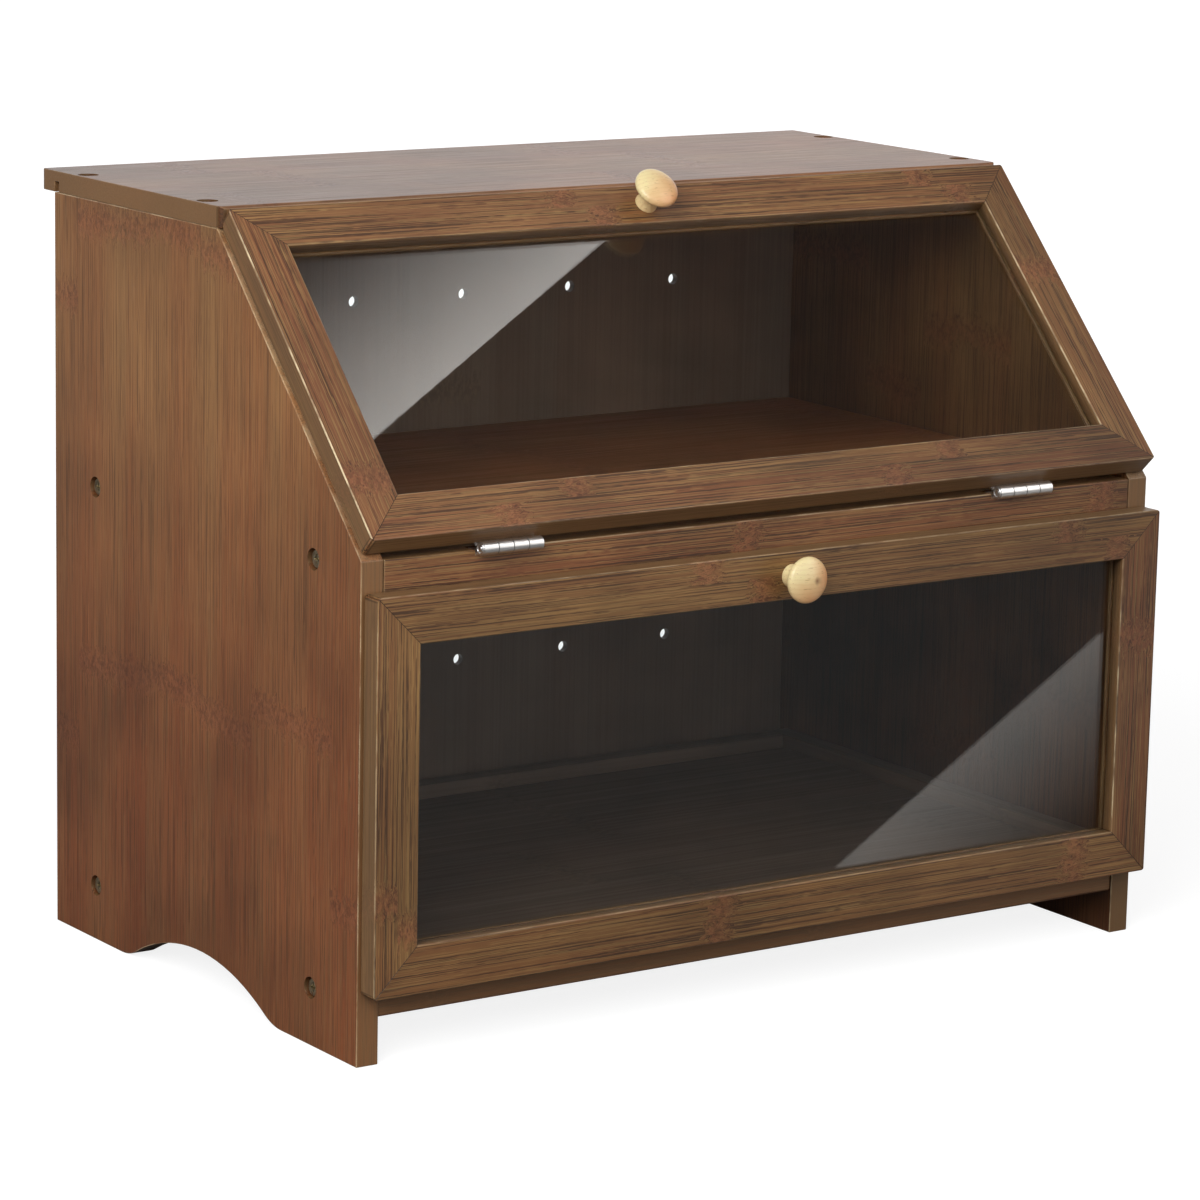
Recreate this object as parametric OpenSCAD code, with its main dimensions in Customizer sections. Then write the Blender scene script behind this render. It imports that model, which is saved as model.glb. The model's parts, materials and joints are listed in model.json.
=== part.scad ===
// Two-tier wooden bread box: a slanted flap door above, a pull-out drawer below.
// X runs across the front, Y towards the back, Z up.
// The origin lies on the floor under the middle of the whole box, knobs included.
// Inside the modules Y is counted from the front edges of the side panels.

/* [Body] */
// Width over the side panels
body_w = 400; // [340:1:460]
// Depth of the side panels
body_d = 252; // [225:1:290]
// Height to the top face
body_h = 330; // [315:1:350]
// Thickness of the side panels, shelf and bottom board
board_t = 10; // [8:0.5:12]
// Thickness of the top board
top_t = 9; // [8:0.5:12]
// How far the top board stands out behind the side panels
top_overhang = 12; // [0:1:20]
// How far the top board stands out in front of the top of the slope
top_lead = 2.5; // [0:0.5:4]
// Height at which the front edges turn back into the slope
slant_z = 204; // [196:1:214]
// How far back the slope reaches at the top
slant_d = 113; // [90:1:125]
// Rounding of the top and bottom boards' long edges
edge_r = 1.5; // [0.5:0.25:2.5]
// Rounding of the top board's four corners
top_corner_r = 3; // [1:0.5:8]

/* [Feet] */
// Height of the gap under the bottom board
foot_h = 19; // [17:1:22]
// Height of the arch cut into each side panel
arch_h = 17; // [8:1:17]
// Length of the arch along the side panel
arch_span = 134; // [100:1:150]
// Radius of the arch's rounded feet
foot_r = 27.5; // [15:0.5:35]

/* [Shelf rail] */
// Height of the rail in front of the shelf
rail_h = 20; // [16:1:22]
// Depth of the rail in front of the shelf
rail_d = 14; // [12.5:0.5:18]
// Gap between the rail's ends and the side panels
rail_gap = 0.5; // [0.2:0.1:1]
// How far the bottom board lies behind the side panels' front edges
bottom_inset = 1; // [0:0.5:4]
// Diameter of the dowels between rail and shelf
dowel_d = 6; // [4:0.5:7]
// Length of the dowels between rail and shelf
dowel_l = 20; // [16:1:24]

/* [Back panel] */
// Thickness of the back panel
back_t = 3.5; // [3:0.5:5]
// Width of the ledge that the back panel lies on
ledge_w = 5; // [4:0.5:6]
// Depth of the slot in the top board that the back panel enters
top_slot = 4.5; // [2:0.5:5]
// Diameter of the vent holes
vent_d = 5; // [4:0.5:8]
// Distance between two vent holes of a row
vent_pitch = 58; // [30:1:62]
// Number of vent holes in a row
vent_count = 5; // [3:1:5]
// How far the vent rows sit to the right of the middle
vent_shift = 5; // [-6:1:6]
// Height of the upper vent row
vent_high = 264.5; // [240:0.5:285]
// Height of the lower vent row
vent_low = 96; // [80:0.5:150]

/* [Framed fronts] */
// Thickness of the frame members
frame_t = 10; // [9:0.5:12]
// Width of the frame members
frame_w = 20; // [18:0.5:26]
// Rounding of the long edges of the frame members and the rail
frame_r = 0.6; // [0.3:0.1:1.5]
// Rounding of the frames' outer corners
corner_r = 2; // [0.5:0.5:4]
// How far the frames end inside the side panels' outer faces
reveal = 1; // [0:0.5:3]
// Thickness of the clear panes
pane_t = 2; // [1.5:0.5:3]
// How far the panes lie behind the frames' front faces
pane_set = 5.5; // [3:0.5:5.5]
// How far the panes reach into the frame members
pane_lip = 5; // [3:0.5:5]

/* [Flap door] */
// Distance from the foot of the slope to the door's lower end
door_foot = 2.4; // [2.2:0.1:5]
// How far the door's upper end passes the top of the slope
door_over = 1.3; // [0:0.1:2]
// Gap between the door's upper end and the top board
door_clear = 0.8; // [0.4:0.1:2]

/* [Hinges] */
// Length of a hinge
hinge_l = 28.5; // [24:0.5:40]
// Distance of the hinges' middles from the side panels' inner faces
hinge_in = 59.5; // [50:0.5:90]
// How far the pair of hinges sits to the right of the middle
hinge_shift = -2.5; // [-5:0.5:5]
// Diameter of the hinge knuckles
knuckle_d = 5.6; // [5:0.1:6]
// Thickness of the hinge leaves
leaf_t = 1; // [0.8:0.1:1.2]
// Reach of a leaf from the pin to its far edge
leaf_w = 12; // [11:0.5:13]
// Diameter of the hinge pins
pin_d = 2.4; // [2:0.1:2.8]
// Distance of the pins in front of the rail
pin_out = 3.2; // [3:0.1:3.6]
// Height of the pins above the rail
pin_up = 1; // [0.8:0.1:1.4]

/* [Drawer] */
// Height of the lower edge of the drawer front
front_z = 30; // [30:0.5:34]
// Height of the strip of rail that shows above the drawer front
rail_show = 12.5; // [8:0.5:16]
// Gap between the drawer front and the side panels
front_gap = 1; // [0.5:0.5:2]
// Height of the tray behind the drawer front
tray_h = 14; // [13:0.5:30]
// Thickness of the tray's strips
strip_t = 10; // [8:0.5:12]
// Thickness of the tray's floor
floor_t = 4; // [3:0.5:5]
// Gap between the tray and the side panels, shelf and back
tray_gap = 0.5; // [0.3:0.1:1.5]
// Gap between the tray's rear strip and the back panel
tray_back_gap = 8; // [4:1:20]
// Height of the runners at the tray's sides
runner_h = 5; // [4:0.5:6]
// How far the runners stand out from the tray
runner_out = 4; // [3:0.5:4.5]
// Gap between the runners' ends and the screw heads in the tray's sides
runner_clear = 3; // [2:0.5:10]

/* [Knobs] */
// Diameter of a knob's head
knob_d = 19.5; // [16:0.5:26]
// Diameter of a knob's neck
knob_neck_d = 10; // [8:0.5:12]
// How far a knob stands out from its frame
knob_out = 14.5; // [12:0.5:22]

/* [Screws] */
// Diameter of the sunk holes over the screw heads
sink_d = 9; // [8:0.5:10]
// Depth of the sunk holes over the screw heads
sink_h = 3.5; // [3:0.5:5]
// Diameter of the screw heads
head_d = 7; // [6:0.2:8]
// Diameter of the wood screws
screw_d = 3.6; // [3:0.2:4]
// Length of the wood screws below the head
screw_l = 26; // [20:1:32]
// Distance of the side screws from the panel's front and rear edges
screw_edge = 36; // [25:1:50]

/* [Hidden] */

walnut = "#6b4229";
walnut_dark = "#4a2f20";
pale_wood = "#e0bf7c";
steel = "#c9cacc";
clear = "#cfd6d880";

$fn = 64;
cut = 1;          // how far a cut runs past the face that it opens
fit = 0.15;       // clearance round glued and pressed pieces
slide_fit = 0.3;  // clearance of the runners in their grooves
bore_fit = 0.05;  // radial clearance of a turning knuckle on its pin
hold_fit = 0.02;  // radial clearance of a fixed knuckle on its pin
thread_fit = 0.1; // radial clearance of a screw in its hole

// Body
inner_x = body_w / 2 - board_t;
side_h = body_h - top_t;
back_y = body_d - back_t - fit;
top_front = slant_d - top_lead;
shelf_z = slant_z - board_t;
floor_z = foot_h + board_t;

// Slope: s runs up it from its foot and n stands square on it
slope_a = atan2(side_h - slant_z, slant_d);
slope_l = norm([slant_d, side_h - slant_z]);
pin_s = pin_up * sin(slope_a) - pin_out * cos(slope_a);
pin_n = pin_up * cos(slope_a) + pin_out * sin(slope_a);
door_gap = pin_n - knuckle_d / 2 + leaf_t;
front_w = body_w - 2 * reveal;
door_l = slope_l + door_over - door_foot;

// Arch: the crown's circle meets a foot circle on each side
arch_sum = (pow(arch_span / 2, 2) + pow(arch_h, 2)) / (2 * arch_h);
arch_r = arch_sum - foot_r;
arch_meet = arch_span / 2 * arch_r / arch_sum;
arch_meet_z = arch_h - arch_h * arch_r / arch_sum;

// Hinges
knuckles = 4;
knuckle_gap = 0.2;
knuckle_l = hinge_l / knuckles;
leaf_recess = knuckle_d / 2 - pin_up;
small_head_d = 4;
small_head_h = 0.6;
small_screw_d = 2;
small_screw_l = 7;
leaf_hole = leaf_w * 0.62;
hinge_hole_x = hinge_l * 0.3;
hinge_x = inner_x - hinge_in;

// Drawer
front_h = slant_z - rail_show - front_z;
tray_z = floor_z + 1;
tray_x = inner_x - tray_gap;
tray_y = -front_gap;
tray_d = back_y - tray_back_gap - tray_y;
floor_up = 3.5;
floor_dip = 3;
runner_z = tray_z + tray_h / 2;
runner_dip = 2;
groove_dip = runner_out + tray_gap;
groove_h = runner_h + 2 * slide_fit;
runner_start = tray_y + strip_t / 2 + small_head_d / 2 + runner_clear;
runner_l = tray_y + tray_d - strip_t / 2 - small_head_d / 2 - runner_clear - runner_start;

// Knobs
rim_r = 1.8;
rim_up = knob_out * 0.78;
rim_x = knob_d / 2 - rim_r;
crown = knob_out - rim_up;
dome_r = (pow(rim_x, 2) + pow(crown, 2) - pow(rim_r, 2)) / (2 * (crown - rim_r));
neck_l = knob_out * 0.3;
knob_screw_d = 4;
knob_screw_deep = 9;
knob_sink = 2.8;

// Screws
head_h = 2;
brad_d = 1.4;
brad_l = 14;
brad_head_d = 3;
brad_head_h = 0.6;
top_screw_edge = 20;
top_screw_in = 5.5;
front_bite = 7; // how far the front screws enter the drawer front
front_screw_l = strip_t + front_bite - small_head_h;

front_y = (knob_out + frame_t + front_gap - body_d - top_overhang) / 2;

side_spots = [for (z = [shelf_z + board_t / 2, foot_h + board_t / 2],
    y = [screw_edge, body_d - screw_edge]) [y, z]];
top_spots = [for (x = [-1, 1], y = [top_front + top_screw_edge, body_d - top_screw_edge])
    [x * (body_w / 2 - top_screw_in), y]];
brad_spots = concat(
    [for (x = [-1, 1], z = [foot_h + 0.1 * side_h, side_h / 2, 0.92 * side_h])
        [x * (inner_x + ledge_w / 2), z]],
    [for (x = [-0.5, 0, 0.5], z = [foot_h, shelf_z]) [x * inner_x, z + board_t / 2]]);
dowel_spots = [for (x = [-0.8, 0, 0.8]) x * inner_x];
front_screw_spots = [for (x = [-0.75, 0, 0.75]) x * inner_x];

// ---- Places ----

module placed() translate([0, front_y, 0]) children();

// Local X across, Y up the slope, Z square out of it
module on_slope() translate([0, 0, slant_z]) rotate([slope_a, 0, 0]) children();

module on_door() on_slope() translate([0, door_foot, door_gap]) children();

// Local X across, Y up, Z out of the front
module on_drawer() translate([0, -front_gap, front_z]) rotate([90, 0, 0]) children();

module both_sides() for (m = [0, 1]) mirror([m, 0, 0]) children();

module right() mirror([1, 0, 0]) children();

// ---- Shapes that repeat ----

module rounded(w, h, r) {
    translate([r, 0]) square([w - 2 * r, h]);
    translate([0, r]) square([w, h - 2 * r]);
    for (x = [r, w - r], y = [r, h - r]) translate([x, y]) circle(r);
}

// A board along X, its section drawn in Y and Z
module along_x(length) rotate([90, 0, 90]) linear_extrude(length, center = true) children();

// A cross recess, a head and a pointed shank; the head's top is at Z 0
module screw(head_w, head_tall, d, length) {
    recess_w = head_w * 0.14;
    recess_l = head_w * 0.58;
    recess_h = head_tall * 0.7;
    tip = d;
    difference() {
        translate([0, 0, -head_tall]) cylinder(h = head_tall, d = head_w);
        for (a = [0, 90]) rotate(a)
            translate([-recess_l / 2, -recess_w / 2, -recess_h]) cube([recess_l, recess_w, recess_h + cut]);
    }
    translate([0, 0, -head_tall - length + tip]) cylinder(h = length - tip, d = d);
    translate([0, 0, -head_tall - length]) cylinder(h = tip, d1 = d / 4, d2 = d);
}

// The hole for a screw whose head's top lies the given depth under the face at Z 0
module screw_hole(sink_w, sink_deep, d, deep) {
    translate([0, 0, -sink_deep]) cylinder(h = sink_deep + cut, d = sink_w);
    translate([0, 0, -deep]) cylinder(h = deep, d = d + 2 * thread_fit);
}

module wood_screw() screw(head_d, head_h, screw_d, screw_l);

module wood_screw_hole() screw_hole(sink_d, sink_h, screw_d, sink_h + screw_l + cut);

// The head lies on the floor of the sunk hole
head_low = sink_h - head_h;

module at_side_spots() for (p = side_spots)
    translate([-body_w / 2, p[0], p[1]]) rotate([0, -90, 0]) children();

module at_top_spots() for (p = top_spots) translate([p[0], p[1], body_h]) children();

module at_brad_spots() for (p = brad_spots)
    translate([p[0], body_d, p[1]]) rotate([-90, 0, 0]) children();

module at_dowel_spots() for (x = dowel_spots)
    translate([x, rail_d, shelf_z + board_t / 2]) rotate([90, 0, 0]) children();

// ---- Body ----

module arch() {
    mid = body_d / 2;
    translate([mid, 0]) {
        intersection() {
            translate([0, arch_h - arch_r]) circle(arch_r, $fn = 128);
            translate([-arch_meet, -cut]) square([2 * arch_meet, arch_h + 2 * cut]);
        }
        both_sides() difference() {
            translate([arch_meet - cut / 10, -cut]) square([arch_span / 2 - arch_meet, arch_meet_z + cut]);
            translate([arch_span / 2, foot_r]) circle(foot_r, $fn = 128);
        }
    }
}

module side_panel() difference() {
    translate([-body_w / 2 + board_t / 2, 0, 0]) along_x(board_t) difference() {
        polygon([[0, 0], [body_d, 0], [body_d, side_h], [slant_d, side_h], [0, slant_z]]);
        arch();
    }
    translate([-inner_x - ledge_w, back_y, -cut]) cube([ledge_w + cut, back_t + cut + fit, body_h]);
    translate([-inner_x - groove_dip, -cut, runner_z - groove_h / 2])
        cube([groove_dip + cut, runner_start + runner_l + cut + fit, groove_h]);
    at_side_spots() wood_screw_hole();
    at_top_spots() wood_screw_hole();
    at_brad_spots() brad_hole();
}

module side_panel_left() color(walnut) placed() side_panel();

module side_panel_right() color(walnut) placed() right() side_panel();

module top_board() color(walnut) placed() difference() {
    deep = body_d + top_overhang - top_front;
    intersection() {
        translate([0, top_front, side_h]) along_x(body_w) rounded(deep, top_t, edge_r);
        translate([-body_w / 2, top_front, side_h - cut])
            linear_extrude(top_t + 2 * cut) rounded(body_w, deep, top_corner_r);
    }
    translate([-body_w / 2 - cut, back_y, side_h - cut])
        cube([body_w + 2 * cut, back_t + fit, top_slot + cut]);
    at_top_spots() wood_screw_hole();
}

module bottom_board() color(walnut) placed() difference() {
    translate([0, bottom_inset, foot_h])
        along_x(2 * inner_x) rounded(back_y - bottom_inset, board_t, edge_r);
    both_sides() at_side_spots() wood_screw_hole();
    at_brad_spots() brad_hole();
}

module middle_shelf() color(walnut) placed() difference() {
    translate([-inner_x, rail_d, shelf_z]) cube([2 * inner_x, back_y - rail_d, board_t]);
    both_sides() at_side_spots() wood_screw_hole();
    at_brad_spots() brad_hole();
    at_dowel_spots() dowel_hole();
}

module middle_rail() color(walnut) placed() difference() {
    translate([0, 0, slant_z - rail_h])
        along_x(2 * (inner_x - rail_gap)) rounded(rail_d, rail_h, frame_r);
    at_rail_leaf() translate([-hinge_l / 2 - fit, pin_out - cut, -knuckle_d / 2])
        cube([hinge_l + 2 * fit, cut + leaf_w - pin_out + fit, leaf_recess + cut]);
    at_dowel_spots() dowel_hole();
    at_rail_leaf() at_front_holes() small_screw_hole();
}

module dowel_hole() cylinder(h = dowel_l + 2 * fit, d = dowel_d + 2 * thread_fit, center = true);

module rail_dowels() color(pale_wood) placed()
    at_dowel_spots() cylinder(h = dowel_l, d = dowel_d, center = true);

module back_panel() color(walnut_dark) placed() difference() {
    wide = 2 * (inner_x + ledge_w - fit);
    translate([-wide / 2, back_y + fit / 2, foot_h])
        cube([wide, back_t, side_h + top_slot - foot_h - fit]);
    for (i = [0 : vent_count - 1], z = [vent_low, vent_high])
        translate([vent_shift + (i - (vent_count - 1) / 2) * vent_pitch, body_d + cut, z])
            rotate([90, 0, 0]) cylinder(h = back_t + 3 * cut, d = vent_d);
    at_brad_spots() brad_hole();
}

module brad_hole() screw_hole(brad_head_d + 2 * fit, brad_head_h, brad_d, brad_l + cut);

module back_brads() color(steel) placed() at_brad_spots() {
    translate([0, 0, -brad_head_h]) cylinder(h = brad_head_h, d = brad_head_d);
    translate([0, 0, -brad_l]) cylinder(h = brad_l - brad_head_h, d = brad_d);
}

module side_screws() at_side_spots() translate([0, 0, -head_low]) wood_screw();

module side_screws_left() color(steel) placed() side_screws();

module side_screws_right() color(steel) placed() right() side_screws();

module top_screws() color(steel) placed() at_top_spots() translate([0, 0, -head_low]) wood_screw();

// ---- Hinges ----
// A leaf lies in X and Y with its pin along X at Y 0 and its back face at the knuckle's foot

module shifted() translate([hinge_shift, 0, 0]) children();

module on_rail() translate([0, -pin_out, slant_z + pin_up]) children();

module on_flap() on_slope() translate([0, pin_s, pin_n]) children();

module at_left() shifted() translate([-hinge_x, 0, 0]) children();

module at_right() shifted() translate([hinge_x, 0, 0]) children();

module at_rail_leaf() on_rail() {
    at_left() children();
    at_right() children();
}

module at_door_leaf() on_flap() {
    at_left() children();
    at_right() children();
}

// The screw heads lie in the leaf's front face
module at_front_holes() for (x = [-hinge_hole_x, hinge_hole_x])
    translate([x, leaf_hole, -knuckle_d / 2 + leaf_t]) children();

// The screw heads lie in the leaf's back face
module at_back_holes() for (x = [-hinge_hole_x, hinge_hole_x])
    translate([x, leaf_hole, -knuckle_d / 2]) rotate([180, 0, 0]) children();

module small_screw() screw(small_head_d, small_head_h, small_screw_d, small_screw_l);

module small_screw_hole() screw_hole(small_head_d + 2 * thread_fit, small_head_h, small_screw_d,
    small_head_h + small_screw_l + cut);

// first is 0 for the leaf with the leftmost knuckle, 1 for the other
module hinge_leaf(first, pin_clear) difference() {
    start = knuckle_d / 2 + knuckle_gap;
    union() {
        translate([-hinge_l / 2, start, -knuckle_d / 2]) cube([hinge_l, leaf_w - start, leaf_t]);
        for (i = [first : 2 : knuckles - 1])
            translate([(i - knuckles / 2) * knuckle_l + knuckle_gap / 2, 0, 0]) {
                rotate([0, 90, 0]) cylinder(h = knuckle_l - knuckle_gap, d = knuckle_d);
                translate([0, 0, -knuckle_d / 2]) cube([knuckle_l - knuckle_gap, start + cut, leaf_t]);
            }
    }
    rotate([0, 90, 0]) cylinder(h = hinge_l + 2 * cut, d = pin_d + 2 * pin_clear, center = true);
    children();
}

module hinge_pin() rotate([0, 90, 0]) cylinder(h = hinge_l, d = pin_d, center = true);

module rail_leaf() hinge_leaf(0, hold_fit) at_front_holes() small_screw_hole();

module door_leaf() hinge_leaf(1, bore_fit) at_back_holes() small_screw_hole();

module hinge_rail_leaf_left() color(steel) placed() on_rail() at_left() rail_leaf();

module hinge_rail_leaf_right() color(steel) placed() on_rail() at_right() rail_leaf();

module hinge_pin_left() color(steel) placed() on_rail() at_left() hinge_pin();

module hinge_pin_right() color(steel) placed() on_rail() at_right() hinge_pin();

module hinge_rail_screws() color(steel) placed() at_rail_leaf() at_front_holes() small_screw();

module hinge_door_leaf_left() color(steel) placed() on_flap() at_left() door_leaf();

module hinge_door_leaf_right() color(steel) placed() on_flap() at_right() door_leaf();

module hinge_door_screws() color(steel) placed() at_door_leaf() at_back_holes() small_screw();

// ---- Framed fronts ----
// A frame lies in X and Y with its inner face at Z 0; its lower edge is at Y 0

module frame_bar(length) intersection() {
    along_x(length) difference() {
        rounded(frame_w, frame_t, frame_r);
        translate([frame_w - pane_lip - fit, frame_t - pane_set - pane_t - fit])
            square([pane_lip + fit + cut, pane_t + fit]);
    }
    translate([0, 0, -cut]) linear_extrude(frame_t + 2 * cut) intersection() {
        polygon([[-length / 2, 0], [length / 2, 0],
            [length / 2 - frame_w, frame_w], [-length / 2 + frame_w, frame_w]]);
        translate([-length / 2, 0]) rounded(length, 2 * frame_w, corner_r);
    }
}

module frame_bottom(w) frame_bar(w);

module frame_top(w, h) translate([0, h, 0]) mirror([0, 1, 0]) frame_bar(w);

module frame_left(w, h) translate([-w / 2, h / 2, 0]) rotate([0, 0, -90]) frame_bar(h);

module frame_right(w, h) right() frame_left(w, h);

module frame_pane(w, h) {
    edge = frame_w - pane_lip;
    translate([-w / 2 + edge, edge, frame_t - pane_set - pane_t - fit / 2])
        cube([w - 2 * edge, h - 2 * edge, pane_t]);
}

module knob() difference() {
    rotate_extrude() {
        square([knob_neck_d / 2, neck_l + cut]);
        polygon([[0, neck_l], [knob_neck_d / 2, neck_l], [rim_x, rim_up - rim_r], [rim_x, rim_up], [0, rim_up]]);
        intersection() {
            translate([rim_x, rim_up]) circle(rim_r);
            square([knob_d, knob_out]);
        }
        intersection() {
            translate([0, knob_out - dome_r]) circle(dome_r);
            translate([0, rim_up]) square([rim_x * dome_r / (dome_r - rim_r), crown]);
        }
    }
    translate([0, 0, -cut]) cylinder(h = knob_screw_deep + 2 * cut, d = knob_screw_d + 2 * thread_fit);
}

// Its head lies on the floor of the sunk hole in the frame's inner face
module knob_screw() translate([0, 0, knob_sink - head_h]) rotate([180, 0, 0])
    screw(head_d, head_h, knob_screw_d, frame_t - knob_sink + knob_screw_deep);

module knob_hole() {
    translate([0, 0, -cut]) cylinder(h = frame_t + 2 * cut, d = knob_screw_d + 2 * thread_fit);
    translate([0, 0, -cut]) cylinder(h = knob_sink + cut, d = sink_d);
}

module on_top_bar(h) translate([0, h - frame_w / 2, 0]) children();

// ---- Flap door ----

// The door's upper end is cut upright in front of the top board
module door_cut() difference() {
    children();
    translate([-body_w, top_front - door_clear, slant_z])
        cube([2 * body_w, body_d, body_h]);
}

module door_rail_top() color(walnut) placed() door_cut() on_door() difference() {
    frame_top(front_w, door_l);
    on_top_bar(door_l) knob_hole();
}

module door_rail_bottom() color(walnut) placed() difference() {
    on_door() frame_bottom(front_w);
    at_door_leaf() at_back_holes() small_screw_hole();
}

module door_stile_left() color(walnut) placed() door_cut() on_door() frame_left(front_w, door_l);

module door_stile_right() color(walnut) placed() door_cut() on_door() frame_right(front_w, door_l);

module door_pane() color(clear) placed() on_door() frame_pane(front_w, door_l);

module door_knob() color(pale_wood) placed() on_door() on_top_bar(door_l)
    translate([0, 0, frame_t]) knob();

module door_knob_screw() color(steel) placed() on_door() on_top_bar(door_l) knob_screw();

// ---- Drawer ----

module drawer_rail_top() color(walnut) placed() on_drawer() difference() {
    frame_top(front_w, front_h);
    on_top_bar(front_h) knob_hole();
}

module drawer_rail_bottom() color(walnut) placed() difference() {
    on_drawer() frame_bottom(front_w);
    at_front_screws() front_screw_hole();
}

module drawer_stile_left() color(walnut) placed() on_drawer() frame_left(front_w, front_h);

module drawer_stile_right() color(walnut) placed() on_drawer() frame_right(front_w, front_h);

module drawer_pane() color(clear) placed() on_drawer() frame_pane(front_w, front_h);

module drawer_knob() color(pale_wood) placed() on_drawer() on_top_bar(front_h)
    translate([0, 0, frame_t]) knob();

module drawer_knob_screw() color(steel) placed() on_drawer() on_top_bar(front_h) knob_screw();

// The tray's floor as a cutter or as the floor itself
module floor_slab(loose) {
    wide = 2 * (tray_x - strip_t + floor_dip);
    long = tray_d - 2 * strip_t + 2 * floor_dip;
    translate([-wide / 2 + loose, tray_y + strip_t - floor_dip + loose, tray_z + floor_up + loose])
        cube([wide - 2 * loose, long - 2 * loose, floor_t - 2 * loose]);
}

module tray_side() difference() {
    translate([-tray_x, tray_y, tray_z]) cube([strip_t, tray_d, tray_h]);
    floor_slab(0);
    translate([-tray_x - cut, runner_start, runner_z - runner_h / 2])
        cube([runner_dip + cut, runner_l, runner_h]);
    at_corner_screws() corner_screw_hole();
}

module tray_side_left() color(walnut_dark) placed() tray_side();

module tray_side_right() color(walnut_dark) placed() right() tray_side();

module tray_strip(y) difference() {
    translate([-tray_x + strip_t, y, tray_z]) cube([2 * (tray_x - strip_t), strip_t, tray_h]);
    floor_slab(0);
    both_sides() at_corner_screws() corner_screw_hole();
    at_front_screws() front_screw_hole();
}

module tray_back() color(walnut_dark) placed() tray_strip(tray_y + tray_d - strip_t);

module tray_front() color(walnut_dark) placed() tray_strip(tray_y);

module tray_floor() color(walnut_dark) placed() floor_slab(fit);

module tray_runner() translate([-tray_x - runner_out, runner_start + fit, runner_z - runner_h / 2 + fit])
    cube([runner_out + runner_dip - fit, runner_l - 2 * fit, runner_h - 2 * fit]);

module tray_runner_left() color(pale_wood) placed() tray_runner();

module tray_runner_right() color(pale_wood) placed() right() tray_runner();

// Screws through the tray's sides into its front and rear strips
module at_corner_screws() for (y = [strip_t / 2, tray_d - strip_t / 2])
    translate([-tray_x, tray_y + y, runner_z]) rotate([0, -90, 0]) children();

module corner_screw_hole() screw_hole(small_head_d + 2 * thread_fit, small_head_h, small_screw_d,
    small_head_h + 2 * strip_t + cut);

module tray_corner_screws() color(steel) placed() both_sides() at_corner_screws()
    screw(small_head_d, small_head_h, small_screw_d, 2 * strip_t);

// Screws through the tray's front strip into the drawer front's lower rail
module at_front_screws() for (x = front_screw_spots)
    translate([x, tray_y + strip_t, tray_z + tray_h - small_head_d]) rotate([-90, 0, 0]) children();

module front_screw_hole() screw_hole(small_head_d + 2 * thread_fit, small_head_h, small_screw_d,
    small_head_h + front_screw_l + cut);

module tray_front_screws() color(steel) placed() at_front_screws()
    screw(small_head_d, small_head_h, small_screw_d, front_screw_l);

side_panel_left();
side_panel_right();
top_board();
bottom_board();
middle_shelf();
middle_rail();
rail_dowels();
back_panel();
back_brads();
side_screws_left();
side_screws_right();
top_screws();
hinge_rail_leaf_left();
hinge_rail_leaf_right();
hinge_pin_left();
hinge_pin_right();
hinge_rail_screws();
door_rail_top();
door_rail_bottom();
door_stile_left();
door_stile_right();
door_pane();
door_knob();
door_knob_screw();
hinge_door_leaf_left();
hinge_door_leaf_right();
hinge_door_screws();
drawer_rail_top();
drawer_rail_bottom();
drawer_stile_left();
drawer_stile_right();
drawer_pane();
drawer_knob();
drawer_knob_screw();
tray_side_left();
tray_side_right();
tray_back();
tray_front();
tray_floor();
tray_runner_left();
tray_runner_right();
tray_corner_screws();
tray_front_screws();
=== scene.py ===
"""Dresses a two-tier bread box: stained bamboo, turned knobs, clear panes, steel hinges and a plain stage."""

import json
import math

import bmesh
import bpy
from mathutils import Matrix, Vector

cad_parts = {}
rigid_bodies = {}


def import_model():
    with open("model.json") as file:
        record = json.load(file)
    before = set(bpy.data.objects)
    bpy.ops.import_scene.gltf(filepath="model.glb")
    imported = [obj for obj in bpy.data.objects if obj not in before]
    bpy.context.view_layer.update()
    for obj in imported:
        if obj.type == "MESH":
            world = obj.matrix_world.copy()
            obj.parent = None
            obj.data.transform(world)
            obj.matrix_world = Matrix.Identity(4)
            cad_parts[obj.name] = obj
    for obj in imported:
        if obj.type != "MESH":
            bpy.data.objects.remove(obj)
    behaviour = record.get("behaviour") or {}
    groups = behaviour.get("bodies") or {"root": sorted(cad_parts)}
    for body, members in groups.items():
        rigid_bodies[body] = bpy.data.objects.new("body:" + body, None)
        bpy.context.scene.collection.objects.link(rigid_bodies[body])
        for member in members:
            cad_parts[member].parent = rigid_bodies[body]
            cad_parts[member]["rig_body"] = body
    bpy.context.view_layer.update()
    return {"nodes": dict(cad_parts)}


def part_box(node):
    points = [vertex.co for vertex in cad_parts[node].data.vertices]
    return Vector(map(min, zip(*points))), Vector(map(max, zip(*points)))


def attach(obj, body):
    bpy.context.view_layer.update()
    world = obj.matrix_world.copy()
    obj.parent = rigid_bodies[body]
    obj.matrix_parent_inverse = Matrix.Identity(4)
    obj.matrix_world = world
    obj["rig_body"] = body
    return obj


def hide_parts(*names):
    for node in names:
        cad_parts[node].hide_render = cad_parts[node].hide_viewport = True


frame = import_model()
NODES = frame["nodes"]

bl_info = {
    "name": "Bread box with drawer",
    "version": (1, 0, 0),
    "blender": (4, 5, 0),
    "location": "3D View > Sidebar > Bread box",
    "description": "Builds the finished look of a two-tier bread box over its packed solids",
    "category": "Object",
}

MM = 0.001

X_AXIS = Vector((1.0, 0.0, 0.0))
Y_AXIS = Vector((0.0, 1.0, 0.0))
Z_AXIS = Vector((0.0, 0.0, 1.0))

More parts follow.
